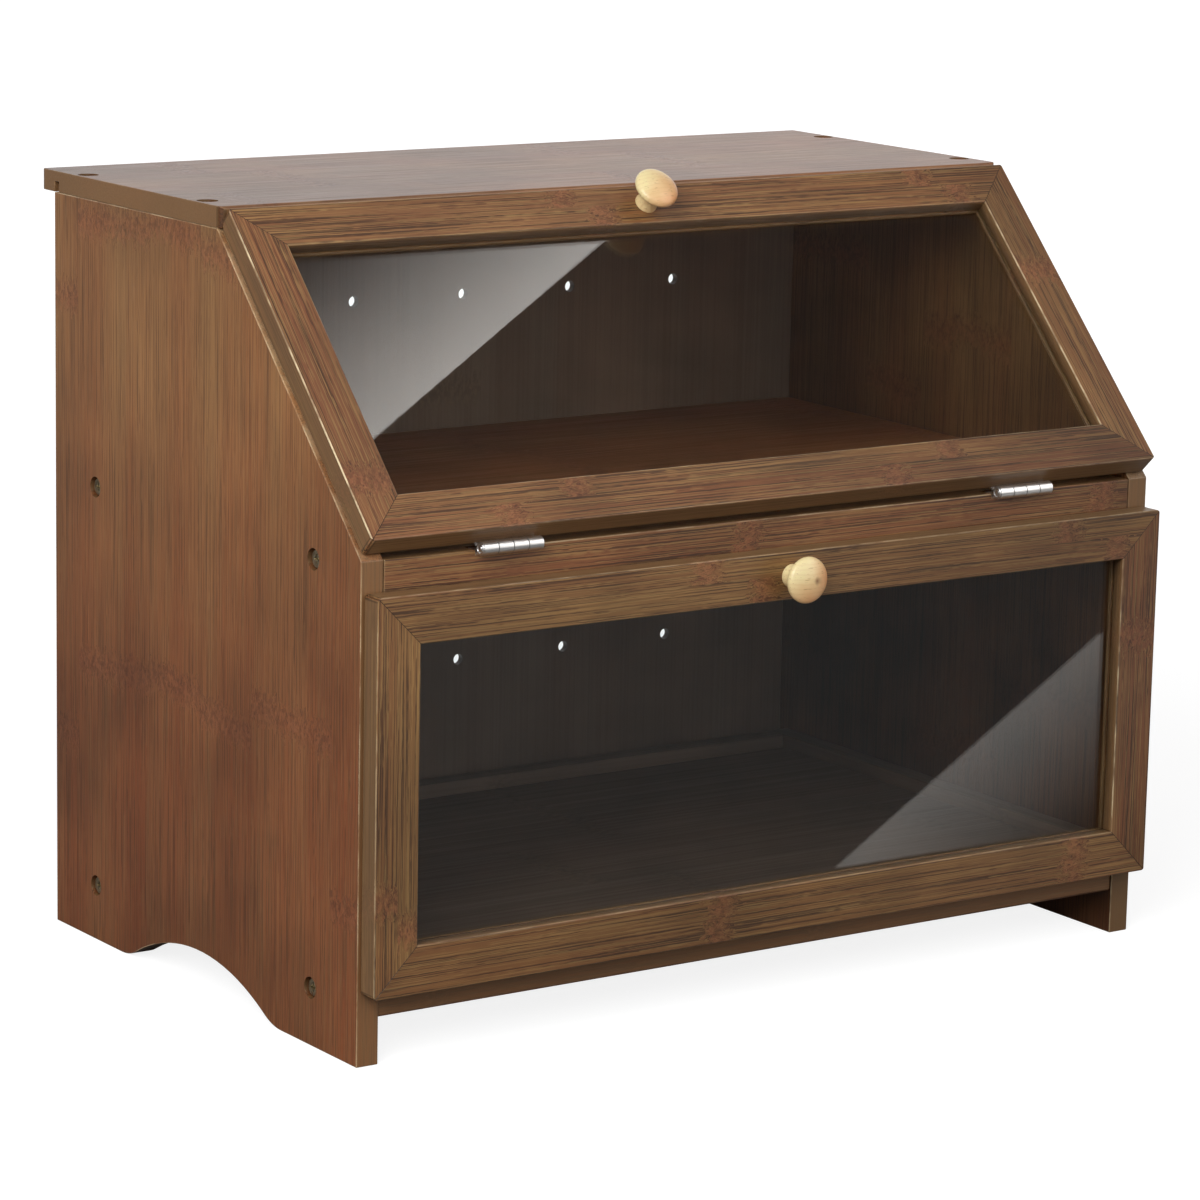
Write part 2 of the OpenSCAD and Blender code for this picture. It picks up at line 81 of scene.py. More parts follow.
# The door lies on a slope that rises 117 mm over a depth of 113 mm
UP_SLOPE = Vector((0.0, 113.0, 117.0)).normalized()
OFF_SLOPE = Vector((0.0, -117.0, 113.0)).normalized()

# Each wooden board: the way its grain runs, and the way its bamboo strips lie side by side
GRAIN = {
    "side_panel_left": (Z_AXIS, Y_AXIS),
    "side_panel_right": (Z_AXIS, Y_AXIS),
    "top_board": (X_AXIS, Y_AXIS),
    "bottom_board": (X_AXIS, Y_AXIS),
    "middle_shelf": (X_AXIS, Y_AXIS),
    "middle_rail": (X_AXIS, Z_AXIS),
    "back_panel": (Z_AXIS, X_AXIS),
    "door_rail_top": (X_AXIS, UP_SLOPE),
    "door_rail_bottom": (X_AXIS, UP_SLOPE),
    "door_stile_left": (UP_SLOPE, X_AXIS),
    "door_stile_right": (UP_SLOPE, X_AXIS),
    "drawer_rail_top": (X_AXIS, Z_AXIS),
    "drawer_rail_bottom": (X_AXIS, Z_AXIS),
    "drawer_stile_left": (Z_AXIS, X_AXIS),
    "drawer_stile_right": (Z_AXIS, X_AXIS),
    "tray_side_left": (Y_AXIS, Z_AXIS),
    "tray_side_right": (Y_AXIS, Z_AXIS),
    "tray_back": (X_AXIS, Z_AXIS),
    "tray_front": (X_AXIS, Z_AXIS),
    "tray_floor": (X_AXIS, Y_AXIS),
    "tray_runner_left": (Y_AXIS, Z_AXIS),
    "tray_runner_right": (Y_AXIS, Z_AXIS),
    "rail_dowels": (Y_AXIS, Z_AXIS),
}

BODY_OF = {name: node["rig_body"] for name, node in NODES.items()}

# How each board came out: its stain, from olive at 0 to red at 1; how dark it is at the left or lower end
# and at the other end, where 1 is half as bright as 0 and a value below 0 is paler, partly stain depth and
# partly painted shade for how the light falls on the board; how far its left and upper edges are worn and
# carry a painted highlight, from 0 to 1; and about where one node of its cane lies, in mm
BOARDS = {
    "side_panel_left": (0.20, 0.0, 0.0, 0.5, 108.0),
    # The right panel is painted darker all over: painted shade for its inner face, which lies in the box's
    # shade
    "side_panel_right": (0.10, 0.95, 0.95, 0.4, 80.0),
    # The top board is painted darker towards its left end, as shade where its sheen is weaker
    "top_board": (0.50, 0.65, 0.10, 0.1, 60.0),
    # The back panel is painted paler towards its top, as painted light inside the box
    "back_panel": (0.50, 0.20, -0.80, 0.3, 0.0),
    # The front members are painted darker towards their right ends and on the right, as shade where the key
    # softbox's light falls off
    "middle_rail": (0.55, 0.0, 0.55, 0.8, 30.0),
    "door_rail_top": (0.25, 0.0, 0.35, 0.3, -10.0),
    "door_rail_bottom": (0.60, 0.0, 0.85, 0.6, 110.0),
    "door_stile_left": (1.00, 0.1, 0.0, 1.0, 75.0),
    "door_stile_right": (0.60, 0.3, 0.3, 0.8, 30.0),
    "drawer_rail_top": (0.25, 0.15, 0.6, 0.4, -45.0),
    "drawer_rail_bottom": (0.35, 0.3, 0.5, 0.3, 130.0),
    "drawer_stile_left": (0.45, 0.2, 0.2, 0.35, 250.0),
    "drawer_stile_right": (1.00, 0.6, 0.55, 0.6, 130.0),
}
PLAIN_BOARD = (0.5, 0.15, 0.15, 0.3, 0.0)

# Nodes of the cane follow each other at this distance
NODE_PITCH = 190 * MM

# On a board, a longer face than the first that lies off its own directions is an eased edge, a shorter face
# than the second is the wall of a hole, and a smaller loop of edges than the third is the rim of one
EASED_EDGE = 60 * MM
HOLE_WALL = 9.5 * MM
HOLE_RIM = 15 * MM

# Edges that face this way, to the left and up where the key softbox hangs, are worn most and painted palest:
# partly wear, partly painted highlight
WEAR_AND_HIGHLIGHT_FROM = Vector((-1.3, 0.0, 0.8))

# A mix of colours takes sockets 6 and 7 and gives output 2
COLOUR_MIX = {"out": 2, "data_type": "RGBA"}

# The middle of the box, which the softboxes face
BOX_MIDDLE = Vector((0.0, 0.0, 0.16))

# The softboxes: place, power in watts and side
SOFTBOXES = {
    "Key softbox": ((-1.25, -0.95, 1.05), 17.0, 0.9),
    "Fill softbox": ((-0.1, -2.2, 1.0), 5.0, 1.0),
}

# The cards whose mirror images show in the panes: the pane and the way up it; the ends of the image's sharp
# edge, in mm across from the pane's middle and up from its lowest edge; how far the image fades to the left
# of the way along that edge, in mm; the card's distance as a share of the camera's; and its strength
PANE_CARDS = {
    "Upper card": ("door_pane", UP_SLOPE, (-17.4, 126.9), (-176.1, 34.6), -90, 0.4, 3.2),
    "Lower card": ("drawer_pane", Z_AXIS, (178.0, 96.0), (28.0, 4.5), 95, 0.1, 1.2),
}

# The card that the hinges' round knuckles mirror: its corners, and how bright each is
SIDE_CARD = ((0.45, -1.5, 0.12), (1.2, -1.0, 0.12), (1.1, -0.5, 1.3), (0.5, -0.85, 1.3))
SIDE_CARD_LEVELS = (0.7, 0.7, 1.0, 1.0)
SIDE_CARD_STRENGTH = 2.8


# ---- Small tools ----


def linear(colour):
    """The linear colour of an sRGB hex string."""
    parts = [int(colour.lstrip("#")[i : i + 2], 16) / 255 for i in (0, 2, 4)]
    return tuple(p / 12.92 if p <= 0.04045 else ((p + 0.055) / 1.055) ** 2.4 for p in parts) + (1.0,)


def add(tree, kind, links=None, out=0, **settings):
    """Adds a shader node with its settings, fills its sockets with values or outputs and gives one output."""
    node = tree.nodes.new(kind)
    for name, value in settings.items():
        setattr(node, name, value)
    for socket, value in (links or {}).items():
        if isinstance(value, bpy.types.NodeSocket):
            tree.links.new(value, node.inputs[socket])
        else:
            node.inputs[socket].default_value = value
    return node.outputs[out] if node.outputs else node


def fresh_material(name):
    """An empty node material with that name, and its tree."""
    material = bpy.data.materials.new(name)
    material.use_nodes = True
    material.node_tree.nodes.clear()
    return material, material.node_tree


def extent(node, axis):
    """The lowest and highest reach of a CAD node along an axis."""
    reach = [v.co.dot(axis) for v in NODES[node].data.vertices]
    return min(reach), max(reach)


def edge_loops(edges):
    """Groups of the given edges that hang together."""
    left = set(edges)
    groups = []
    while left:
        stack = [left.pop()]
        group = []
        while stack:
            edge = stack.pop()
            group.append(edge)
            for vert in edge.verts:
                for other in vert.link_edges:
                    if other in left:
                        left.remove(other)
                        stack.append(other)
        groups.append(group)
    return groups


def loop_size(group):
    """The longest side of the box round a group of edges."""
    points = [vert.co for edge in group for vert in edge.verts]
    return max(max(p[i] for p in points) - min(p[i] for p in points) for i in range(3))


def merged_copy(node):
    """A copy of a CAD node's mesh in one piece, with flat faces joined."""
    mesh = bmesh.new()
    mesh.from_mesh(NODES[node].data)
    bmesh.ops.remove_doubles(mesh, verts=mesh.verts, dist=2e-6)
    bmesh.ops.dissolve_limit(mesh, angle_limit=math.radians(0.5), verts=mesh.verts, edges=mesh.edges)
    return mesh


def sharp_edges(mesh):
    return [e for e in mesh.edges if e.is_manifold and e.calc_face_angle() > math.radians(28)]


def ease_edges(mesh, edges, ease, segments, layer):
    """Bevels the edges and marks the new faces in a face layer."""
    if not edges or ease <= 0:
        return
    made = bmesh.ops.bevel(
        mesh,
        geom=edges,
        offset=ease,
        offset_type="OFFSET",
        affect="EDGES",
        segments=segments,
        profile=0.5,
        material=-1,
        clamp_overlap=False,
    )
    for face in made["faces"]:
        face[layer] = 1.0


def is_mitre(face, along, across):
    """Whether a face lies at 45 degrees between the grain and the board's width."""
    return min(abs(face.normal.dot(along)), abs(face.normal.dot(across))) > 0.6


def lay_grain(mesh, node, strip):
    """Writes each point's place in the board's own directions, along the grain, across it and through it."""
    along, across = GRAIN[node]
    through = along.cross(across)
    order = sorted(GRAIN).index(node)
    start = min(v.co.dot(across) for v in mesh.verts)
    low = min(v.co.dot(through) for v in mesh.verts)
    layer = mesh.verts.layers.float_vector.new("board")
    red = mesh.verts.layers.float.new("redness")
    depth_and_shade_layer = mesh.verts.layers.float.new("depth")
    redness, depth, far_depth_and_shade, _, node_place = BOARDS.get(node, PLAIN_BOARD)
    first, last = extent(node, along)
    # Every board takes a stretch of the pattern of its own, and starts on a whole strip
    shift = Vector((
        (5 * order + 0.33) * NODE_PITCH - node_place * MM,
        (7 * order + 3) * strip - start,
        0.113 * order - low,
    ))
    for vert in mesh.verts:
        place = Vector((vert.co.dot(along), vert.co.dot(across), vert.co.dot(through)))
        vert[layer] = place + shift
        vert[red] = redness
        # Darker towards one end by the depth given: partly stain depth, partly painted shade for how the
        # light falls on the board
        vert[depth_and_shade_layer] = depth + (far_depth_and_shade - depth) * (place.x - first) / (last - first)


def mark_faces(mesh, node):
    """Marks worn edges that carry a painted highlight, the board's ends and narrow sides, and painted shade
    on the walls of its holes.
    """
    along, across = GRAIN[node]
    axes = (along, across, along.cross(across))
    wear_highlight = BOARDS.get(node, PLAIN_BOARD)[3]
    worn = mesh.faces.layers.float["worn"]
    joint = mesh.faces.layers.float["joint"]
    end = mesh.faces.layers.float.new("end")
    narrow = mesh.faces.layers.float.new("narrow")
    for face in mesh.faces:
        off_axis = all(abs(face.normal.dot(axis)) < 0.985 for axis in axes)
        longest = max(e.calc_length() for e in face.edges)
        # Eased edges are pale from wear, and palest where they face the key softbox, which is painted
        # highlight
        if off_axis and longest > EASED_EDGE or face[worn]:
            face[worn] = wear_highlight * min(1.0, max(0.2, face.normal.dot(WEAR_AND_HIGHLIGHT_FROM)))
        # The walls of holes are darkened as painted shade
        if longest < HOLE_WALL and not face[worn]:
            face[joint] = max(face[joint], 0.45)
        face[end] = float(abs(face.normal.dot(along)) > 0.9)
        face[narrow] = float(abs(face.normal.dot(across)) > 0.9)


def finish_piece(mesh, name, node, material, stands_in=True):
    """Makes the object of a finished mesh and ties it to a node's body, in that node's place or beside it."""
    data = bpy.data.meshes.new(name)
    mesh.to_mesh(data)
    mesh.free()
    data.shade_smooth()
    data.set_sharp_from_angle(angle=math.radians(32))
    data.materials.append(material)
    piece = bpy.data.objects.new(name, data)
    bpy.context.scene.collection.objects.link(piece)
    shading = piece.modifiers.new("Even shading", "WEIGHTED_NORMAL")
    shading.keep_sharp = True
    if stands_in:
        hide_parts(node)
    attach(piece, BODY_OF[node])


# ---- Materials ----


def bamboo_material(name, colours, strip_width, fibre, streaks, rough, foot, uneven, wood):
    """Strip bamboo, stained and lacquered: straight fibres, glued strips and swirled patches at the nodes.

    It reads the board's own directions, so the fibres run along every board. fibre holds the fibres' length
    and width, streaks the strength of the dark and of the light ones, rough the lowest and highest roughness,
    foot how much redder the stain is at the foot of the box than at its top and how much darker the foot is
    painted as painted shade, and uneven how far its hue wanders.
    """
    material, tree = fresh_material(name)
    place = add(tree, "ShaderNodeAttribute", out="Vector", attribute_name="board")
    split = {0: place}
    along = add(tree, "ShaderNodeSeparateXYZ", split, out=0)
    across = add(tree, "ShaderNodeSeparateXYZ", split, out=1)
    length, width = fibre

    # Strips, each with a chance of its own
    strips = add(tree, "ShaderNodeMath", {0: across, 1: strip_width}, operation="DIVIDE")
    strip = add(tree, "ShaderNodeMath", {0: strips}, operation="FLOOR")
    chance = add(tree, "ShaderNodeTexWhiteNoise", {"W": strip}, noise_dimensions="1D")

    # Nodes of the cane: ragged patches about 12 mm long, side by side on two or three strips
    group = add(tree, "ShaderNodeMath", {0: strip, 1: 0.4}, operation="MULTIPLY")
    group = add(tree, "ShaderNodeMath", {0: group}, operation="FLOOR")
    group = add(tree, "ShaderNodeTexWhiteNoise", {"W": group}, noise_dimensions="1D")
    steps = add(tree, "ShaderNodeMath", {0: along, 1: NODE_PITCH}, operation="DIVIDE")
    steps = add(tree, "ShaderNodeMath", {0: group, 1: 0.45, 2: steps}, operation="MULTIPLY_ADD")
    steps = add(tree, "ShaderNodeMath", {0: chance, 1: 0.03, 2: steps}, operation="MULTIPLY_ADD")
    steps = add(tree, "ShaderNodeMath", {0: steps}, operation="FRACT")
    speck_at = add(tree, "ShaderNodeVectorMath", {0: place, 1: (260.0, 480.0, 480.0)}, operation="MULTIPLY")
    speck = add(
        tree, "ShaderNodeTexNoise", {"Vector": speck_at, "Scale": 1.0, "Detail": 2.0, "Roughness": 0.7}
    )
    near = add(tree, "ShaderNodeMath", {0: speck, 1: 0.10, 2: steps}, operation="MULTIPLY_ADD")
    near = add(tree, "ShaderNodeMath", {0: near, 1: 0.55}, operation="SUBTRACT")
    near = add(tree, "ShaderNodeMath", {0: near}, operation="ABSOLUTE")
    patch = add(tree, "ShaderNodeMapRange", {"Value": near, "From Min": 0.045, "From Max": 0.010})

    # Fibres run straight and swirl by up to 2 mm in the nodes
    swirl_at = add(tree, "ShaderNodeVectorMath", {0: place, 1: (130.0, 260.0, 260.0)}, operation="MULTIPLY")
    swirl = add(tree, "ShaderNodeTexNoise", {"Vector": swirl_at, "Scale": 1.0, "Detail": 1.0}, out="Color")
    swirl = add(tree, "ShaderNodeVectorMath", {0: swirl, 1: (0.5, 0.5, 0.5)}, operation="SUBTRACT")
    bend = add(tree, "ShaderNodeMapRange", {"Value": patch, "To Min": 0.4 * MM, "To Max": 9 * MM})
    swirl = add(tree, "ShaderNodeVectorMath", {0: swirl, "Scale": bend}, operation="SCALE")
    fibre_at = add(tree, "ShaderNodeVectorMath", {0: place, 1: swirl}, operation="ADD")
    fibre_at = add(
        tree,
        "ShaderNodeVectorMath",
        {0: fibre_at, 1: (1 / length, 1 / width, 1 / width)},
        operation="MULTIPLY",
    )
    coarse = add(
        tree, "ShaderNodeTexNoise", {"Vector": fibre_at, "Scale": 1.0, "Detail": 2.0, "Roughness": 0.55}
    )
    fine = add(
        tree, "ShaderNodeTexNoise", {"Vector": fibre_at, "Scale": 1.7, "Detail": 1.0, "Roughness": 0.5}
    )

    # The stain took unevenly: bands about 25 mm wide and 450 mm long, and clouds of 60 mm
    band_at = add(tree, "ShaderNodeVectorMath", {0: place, 1: (2.2, 40.0, 40.0)}, operation="MULTIPLY")
    band = add(tree, "ShaderNodeTexNoise", {"Vector": band_at, "Scale": 1.0, "Detail": 1.0})
    cloud = add(tree, "ShaderNodeTexNoise", {"Vector": place, "Scale": 16.0, "Detail": 2.0})
    height = add(tree, "ShaderNodeTexCoord", out="Object")
    height = add(tree, "ShaderNodeSeparateXYZ", {0: height}, out=2)
    # How near the foot of the box a place is: it reddens the stain there, and darkens it as painted shade
    low = add(tree, "ShaderNodeMapRange", {"Value": height, "From Min": 0.26, "From Max": 0.10})

    # From olive to red, by board, by band, by height and a little by strip
    redness = add(tree, "ShaderNodeAttribute", out="Fac", attribute_name="redness")
    warm = add(
        tree,
        "ShaderNodeMapRange",
        {
            "Value": band, "From Min": 0.36, "From Max": 0.64,
            "To Min": -0.4 * uneven, "To Max": 0.25 * uneven,
        },
    )
    warm = add(tree, "ShaderNodeMath", {0: chance, 1: 0.25 * uneven, 2: warm}, operation="MULTIPLY_ADD")
    warm = add(tree, "ShaderNodeMath", {0: low, 1: foot[0], 2: warm}, operation="MULTIPLY_ADD")
    warm = add(tree, "ShaderNodeMath", {0: redness, 1: warm}, operation="ADD", use_clamp=True)
    stains = {0: warm, 6: linear(colours["olive"]), 7: linear(colours["red"])}
    base = add(tree, "ShaderNodeMix", stains, **COLOUR_MIX)

    # Dark and light fibres
    dark_share = add(
        tree,
        "ShaderNodeMapRange",
        {"Value": coarse, "From Min": 0.50, "From Max": 0.42, "To Max": streaks[0]},
    )
    base = add(tree, "ShaderNodeMix", {0: dark_share, 6: base, 7: linear(colours["dark"])}, **COLOUR_MIX)
    light_share = add(
        tree,
        "ShaderNodeMapRange",
        {"Value": fine, "From Min": 0.53, "From Max": 0.60, "To Max": streaks[1]},
    )
    base = add(tree, "ShaderNodeMix", {0: light_share, 6: base, 7: linear(colours["light"])}, **COLOUR_MIX)

    # The nodes are redder, with light and dark specks
    speck = add(tree, "ShaderNodeMapRange", {"Value": speck, "From Min": 0.44, "From Max": 0.56})
    specks = {0: speck, 6: linear(colours["node_dark"]), 7: linear(colours["node_light"])}
    mottled = add(tree, "ShaderNodeMix", specks, **COLOUR_MIX)
    patch = add(tree, "ShaderNodeMath", {0: patch, 1: wood.node_contrast}, operation="MULTIPLY")
    base = add(tree, "ShaderNodeMix", {0: patch, 6: base, 7: mottled}, **COLOUR_MIX)

    # Paler and deeper places: clouds in the stain, redder places a little deeper, and painted shade towards
    # one end of a board and towards the foot of the box
    shade = add(
        tree,
        "ShaderNodeMapRange",
        {"Value": cloud, "From Min": 0.35, "From Max": 0.65, "To Min": 0.88, "To Max": 1.12},
    )
    shade = add(tree, "ShaderNodeMath", {0: warm, 1: -0.08, 2: shade}, operation="MULTIPLY_ADD")
    # The depth attribute darkens a board towards one end or all over: partly stain depth, partly painted
    # shade
    depth = add(tree, "ShaderNodeAttribute", out="Fac", attribute_name="depth")
    shade = add(tree, "ShaderNodeMath", {0: depth, 1: -0.5, 2: shade}, operation="MULTIPLY_ADD")
    # Painted shade: darker towards the foot of the box, where less light falls
    shade = add(tree, "ShaderNodeMath", {0: low, 1: -foot[1], 2: shade}, operation="MULTIPLY_ADD")
    base = add(tree, "ShaderNodeVectorMath", {0: base, "Scale": shade}, operation="SCALE")

    # Glue lines between the strips
    middle = add(tree, "ShaderNodeMath", {0: strips}, operation="FRACT")
    middle = add(tree, "ShaderNodeMath", {0: middle, 1: 0.5}, operation="SUBTRACT")
    middle = add(tree, "ShaderNodeMath", {0: middle}, operation="ABSOLUTE")
    seam = add(
        tree,
        "ShaderNodeMapRange",
        {"Value": middle, "From Min": 0.475, "From Max": 0.496, "To Max": wood.seam_contrast},
    )
    base = add(tree, "ShaderNodeMix", {0: seam, 6: base, 7: linear(colours["dark"])}, **COLOUR_MIX)

    # Narrow sides and board ends are quieter and more olive, with the fibres cut across
    for mark, colour, share in (("narrow", "side", 0.55), ("end", "end", 0.7)):
        marked = add(tree, "ShaderNodeAttribute", out="Fac", attribute_name=mark)
        marked = add(tree, "ShaderNodeMath", {0: marked, 1: share}, operation="MULTIPLY")
        base = add(tree, "ShaderNodeMix", {0: marked, 6: base, 7: linear(colours[colour])}, **COLOUR_MIX)

    # Worn edges, where sanding took the stain off, in stretches of about 15 mm; they are also the painted
    # highlight of edges that face the key softbox
    worn = add(tree, "ShaderNodeAttribute", out="Fac", attribute_name="worn")
    rub = add(tree, "ShaderNodeTexNoise", {"Vector": place, "Scale": 60.0, "Detail": 3.0, "Roughness": 0.6})
    rub = add(
        tree,
        "ShaderNodeMapRange",
        {"Value": rub, "From Min": 0.42, "From Max": 0.60, "To Min": 0.2, "To Max": wood.edge_wear_and_highlight},
    )
    worn = add(tree, "ShaderNodeMath", {0: worn, 1: rub}, operation="MULTIPLY")
    base = add(tree, "ShaderNodeMix", {0: worn, 6: base, 7: linear(colours["worn"])}, **COLOUR_MIX)

    # Dirt in the mitred joints, and painted shade on the walls of the holes
    joint = add(tree, "ShaderNodeAttribute", out="Fac", attribute_name="joint")
    base = add(tree, "ShaderNodeMix", {0: joint, 6: base, 7: linear(colours["joint"])}, **COLOUR_MIX)

    gloss = add(
        tree,
        "ShaderNodeMapRange",
        {"Value": coarse, "From Min": 0.35, "From Max": 0.65, "To Min": rough[1], "To Max": rough[0]},
    )
    relief = add(tree, "ShaderNodeBump", {"Height": coarse, "Strength": 0.4, "Distance": 0.12 * MM})
    surface = add(
        tree,
        "ShaderNodeBsdfPrincipled",
        {"Base Color": base, "Roughness": gloss, "Normal": relief, "IOR": 1.5},
    )
    add(tree, "ShaderNodeOutputMaterial", {"Surface": surface})
    return material


def pale_wood_material():
    """Turned pale wood, lacquered: faint growth lines, painted shade in rosy tones on one side, short dark
    pores and a small knot.
    """
    material, tree = fresh_material("Lacquered pale turned wood")
    place = add(tree, "ShaderNodeAttribute", out="Vector", attribute_name="board")
    # Growth lines about 2 mm apart, a little wavy
    lines = add(
        tree,
        "ShaderNodeTexWave",
        {"Vector": place, "Scale": 160.0, "Distortion": 2.5, "Detail": 2.0, "Detail Scale": 0.5},
        out="Fac",
        bands_direction="Y",
    )
    # Rosy clouds of 14 mm
    cloud = add(tree, "ShaderNodeTexNoise", {"Vector": place, "Scale": 70.0, "Detail": 2.0})
    cloud = add(tree, "ShaderNodeMapRange", {"Value": cloud, "From Min": 0.38, "From Max": 0.64})
    # Rosy clouds, and one side painted rosier and darker: painted shade on the side away from the key softbox
    rosy_and_shade = add(tree, "ShaderNodeAttribute", out="Fac", attribute_name="rosy_and_shade")
    rosy_and_shade = add(tree, "ShaderNodeMath", {0: cloud, 1: 0.5, 2: rosy_and_shade}, operation="MULTIPLY_ADD")
    rosy_and_shade = add(tree, "ShaderNodeMapRange", {"Value": rosy_and_shade, "From Min": -0.4, "From Max": 1.2})
    base = add(tree, "ShaderNodeMix", {0: rosy_and_shade, 6: linear("#feeab0"), 7: linear("#f0a970")}, **COLOUR_MIX)
    line_share = add(tree, "ShaderNodeMapRange", {"Value": lines, "From Min": 0.55, "To Max": 0.13})
    base = add(tree, "ShaderNodeMix", {0: line_share, 6: base, 7: linear("#d8a566")}, **COLOUR_MIX)
    # Pores about 4 mm long and 0.7 mm wide, coarser than real ones so that they show
    pores_at = add(tree, "ShaderNodeVectorMath", {0: place, 1: (260.0, 1500.0, 1500.0)}, operation="MULTIPLY")
    pores = add(tree, "ShaderNodeTexNoise", {"Vector": pores_at, "Scale": 1.0, "Detail": 1.0})
    pores = add(
        tree, "ShaderNodeMapRange", {"Value": pores, "From Min": 0.63, "From Max": 0.76, "To Max": 0.45}
    )
    base = add(tree, "ShaderNodeMix", {0: pores, 6: base, 7: linear("#a8703c")}, **COLOUR_MIX)
    knot = add(tree, "ShaderNodeAttribute", out="Fac", attribute_name="knot")
    base = add(tree, "ShaderNodeMix", {0: knot, 6: base, 7: linear("#7c452c")}, **COLOUR_MIX)
    gloss = add(tree, "ShaderNodeMapRange", {"Value": cloud, "To Min": 0.3, "To Max": 0.4})
    surface = add(
        tree,
        "ShaderNodeBsdfPrincipled",
        {"Base Color": base, "Roughness": gloss, "IOR": 1.5, "Coat Weight": 0.3, "Coat Roughness": 0.2},
    )
    add(tree, "ShaderNodeOutputMaterial", {"Surface": surface})
    return material


def acrylic_material():
    """Clear acrylic sheet: mirror-smooth, colourless but for faint wipe marks. Lamps shine through it."""
    material, tree = fresh_material("Clear acrylic sheet")
    place = add(tree, "ShaderNodeTexCoord", out="Object")
    # Wipe marks about 40 mm wide and 17 mm high
    wipes_at = add(tree, "ShaderNodeVectorMath", {0: place, 1: (25.0, 9.0, 60.0)}, operation="MULTIPLY")
    wipes = add(tree, "ShaderNodeTexNoise", {"Vector": wipes_at, "Scale": 1.0, "Detail": 4.0})
    wipes = add(tree, "ShaderNodeMapRange", {"Value": wipes, "From Min": 0.5, "From Max": 0.8})
    tint = add(tree, "ShaderNodeMix", {0: wipes, 6: linear("#f7fafa"), 7: linear("#eff4f4")}, **COLOUR_MIX)
    surface = add(
        tree,
        "ShaderNodeBsdfPrincipled",
        {"Base Color": tint, "Roughness": 0.0, "IOR": 1.49, "Transmission Weight": 1.0},
    )
    open_way = add(tree, "ShaderNodeBsdfTransparent", {"Color": linear("#a6aaaa")})
    lamp = add(tree, "ShaderNodeLightPath", out="Is Shadow Ray")
    both = add(tree, "ShaderNodeMixShader", {0: lamp, 1: surface, 2: open_way})
    add(tree, "ShaderNodeOutputMaterial", {"Surface": both})
    return material


def steel_material(name, colour, low, high, grain, relief):
    """Plated steel: bright metal, its roughness from low to high in fine marks, each relief metres high."""
    material, tree = fresh_material(name)
    place = add(tree, "ShaderNodeTexCoord", out="Object")
    marks_at = add(tree, "ShaderNodeVectorMath", {0: place, 1: grain}, operation="MULTIPLY")
    marks = add(tree, "ShaderNodeTexNoise", {"Vector": marks_at, "Scale": 1.0, "Detail": 3.0})
    gloss = add(
        tree,
        "ShaderNodeMapRange",
        {"Value": marks, "From Min": 0.35, "From Max": 0.65, "To Min": low, "To Max": high},
    )
    tone = add(
        tree,
        "ShaderNodeMapRange",
        {"Value": marks, "From Min": 0.3, "From Max": 0.7, "To Min": 0.86, "To Max": 1.06},
    )
    base = add(tree, "ShaderNodeVectorMath", {0: linear(colour)[:3], "Scale": tone}, operation="SCALE")
    dents = add(tree, "ShaderNodeBump", {"Height": marks, "Strength": 1.0, "Distance": relief})
    surface = add(
        tree,
        "ShaderNodeBsdfPrincipled",
        {"Base Color": base, "Metallic": 1.0, "Roughness": gloss, "Normal": dents},
    )
    add(tree, "ShaderNodeOutputMaterial", {"Surface": surface})
    return material


def material_named(name, maker, *details):
    """The material with that name, made the first time it is asked for."""
    return bpy.data.materials.get(name) or maker(*details)


def wood_colours(wood, **own):
    """The stained bamboo's colours, with a finish's own ones in their place."""
    colours = {
        "olive": wood.olive,
        "red": wood.red,
        "light": wood.light,
        "dark": wood.dark,
        "node_dark": wood.node_dark,
        "node_light": wood.node_light,
        "side": wood.side,
        "end": wood.end,
        "worn": wood.worn,
        "joint": wood.joint,
    }
    return {**colours, **own}


def board_bamboo():
    # Wide boards of edge-glued strips: fine quiet fibres 1 mm apart, olive at the top and red at the foot,
    # with painted shade that darkens them towards the foot
    wood = bpy.context.scene.bread_box_wood
    name = "Walnut stained bamboo board"
    return material_named(
        name, bamboo_material, name, wood_colours(wood), wood.strip_width,
        (0.070, 0.0006), (0.60, 0.30), (0.28, 0.42), (0.60, 0.25), 0.5, wood,
    )


def frame_bamboo():
    # Frame members of two narrow strips: fibres 1 mm apart in clear dark and light lines
    wood = bpy.context.scene.bread_box_wood
    name = "Walnut stained bamboo frame"
    colours = wood_colours(wood, olive="#92693e", red="#8e5836", light="#b68e56", dark="#402718")
    return material_named(
        name, bamboo_material, name, colours, wood.strip_width / 2,
        (0.100, 0.0006), (0.80, 0.58), (0.36, 0.5), (0.0, 0.08), 1.0, wood,
    )


def dark_shaded_board():
    # The same bamboo stained nearly black and left matt; the darkness is partly painted shade for the inside
    # of the box
    wood = bpy.context.scene.bread_box_wood
    name = "Dark stained bamboo board with painted inner shade"
    colours = wood_colours(
        wood, olive="#746050", red="#765c4a", light="#826c5a", dark="#5e4c3e", node_dark="#5a483a",
        node_light="#7a624a", side="#6e5a49", end="#5c4a3c", worn="#806850", joint="#2b2019",
    )
    return material_named(
        name, bamboo_material, name, colours, wood.strip_width,
        (0.2, 0.0013), (0.2, 0.12), (0.45, 0.6), (0.0, 0.0), 1.0, wood,
    )


def pale_wood():
    return material_named("Lacquered pale turned wood", pale_wood_material)


def hinge_steel():
    # Rolled strip with bright zinc plating: soft mirror, with marks 0.5 mm wide that run along the leaf
    name = "Bright zinc plated steel"
    marks = (90.0, 1800.0, 1800.0)
    return material_named(name, steel_material, name, "#f0f0f0", 0.28, 0.42, marks, 0.008 * MM)


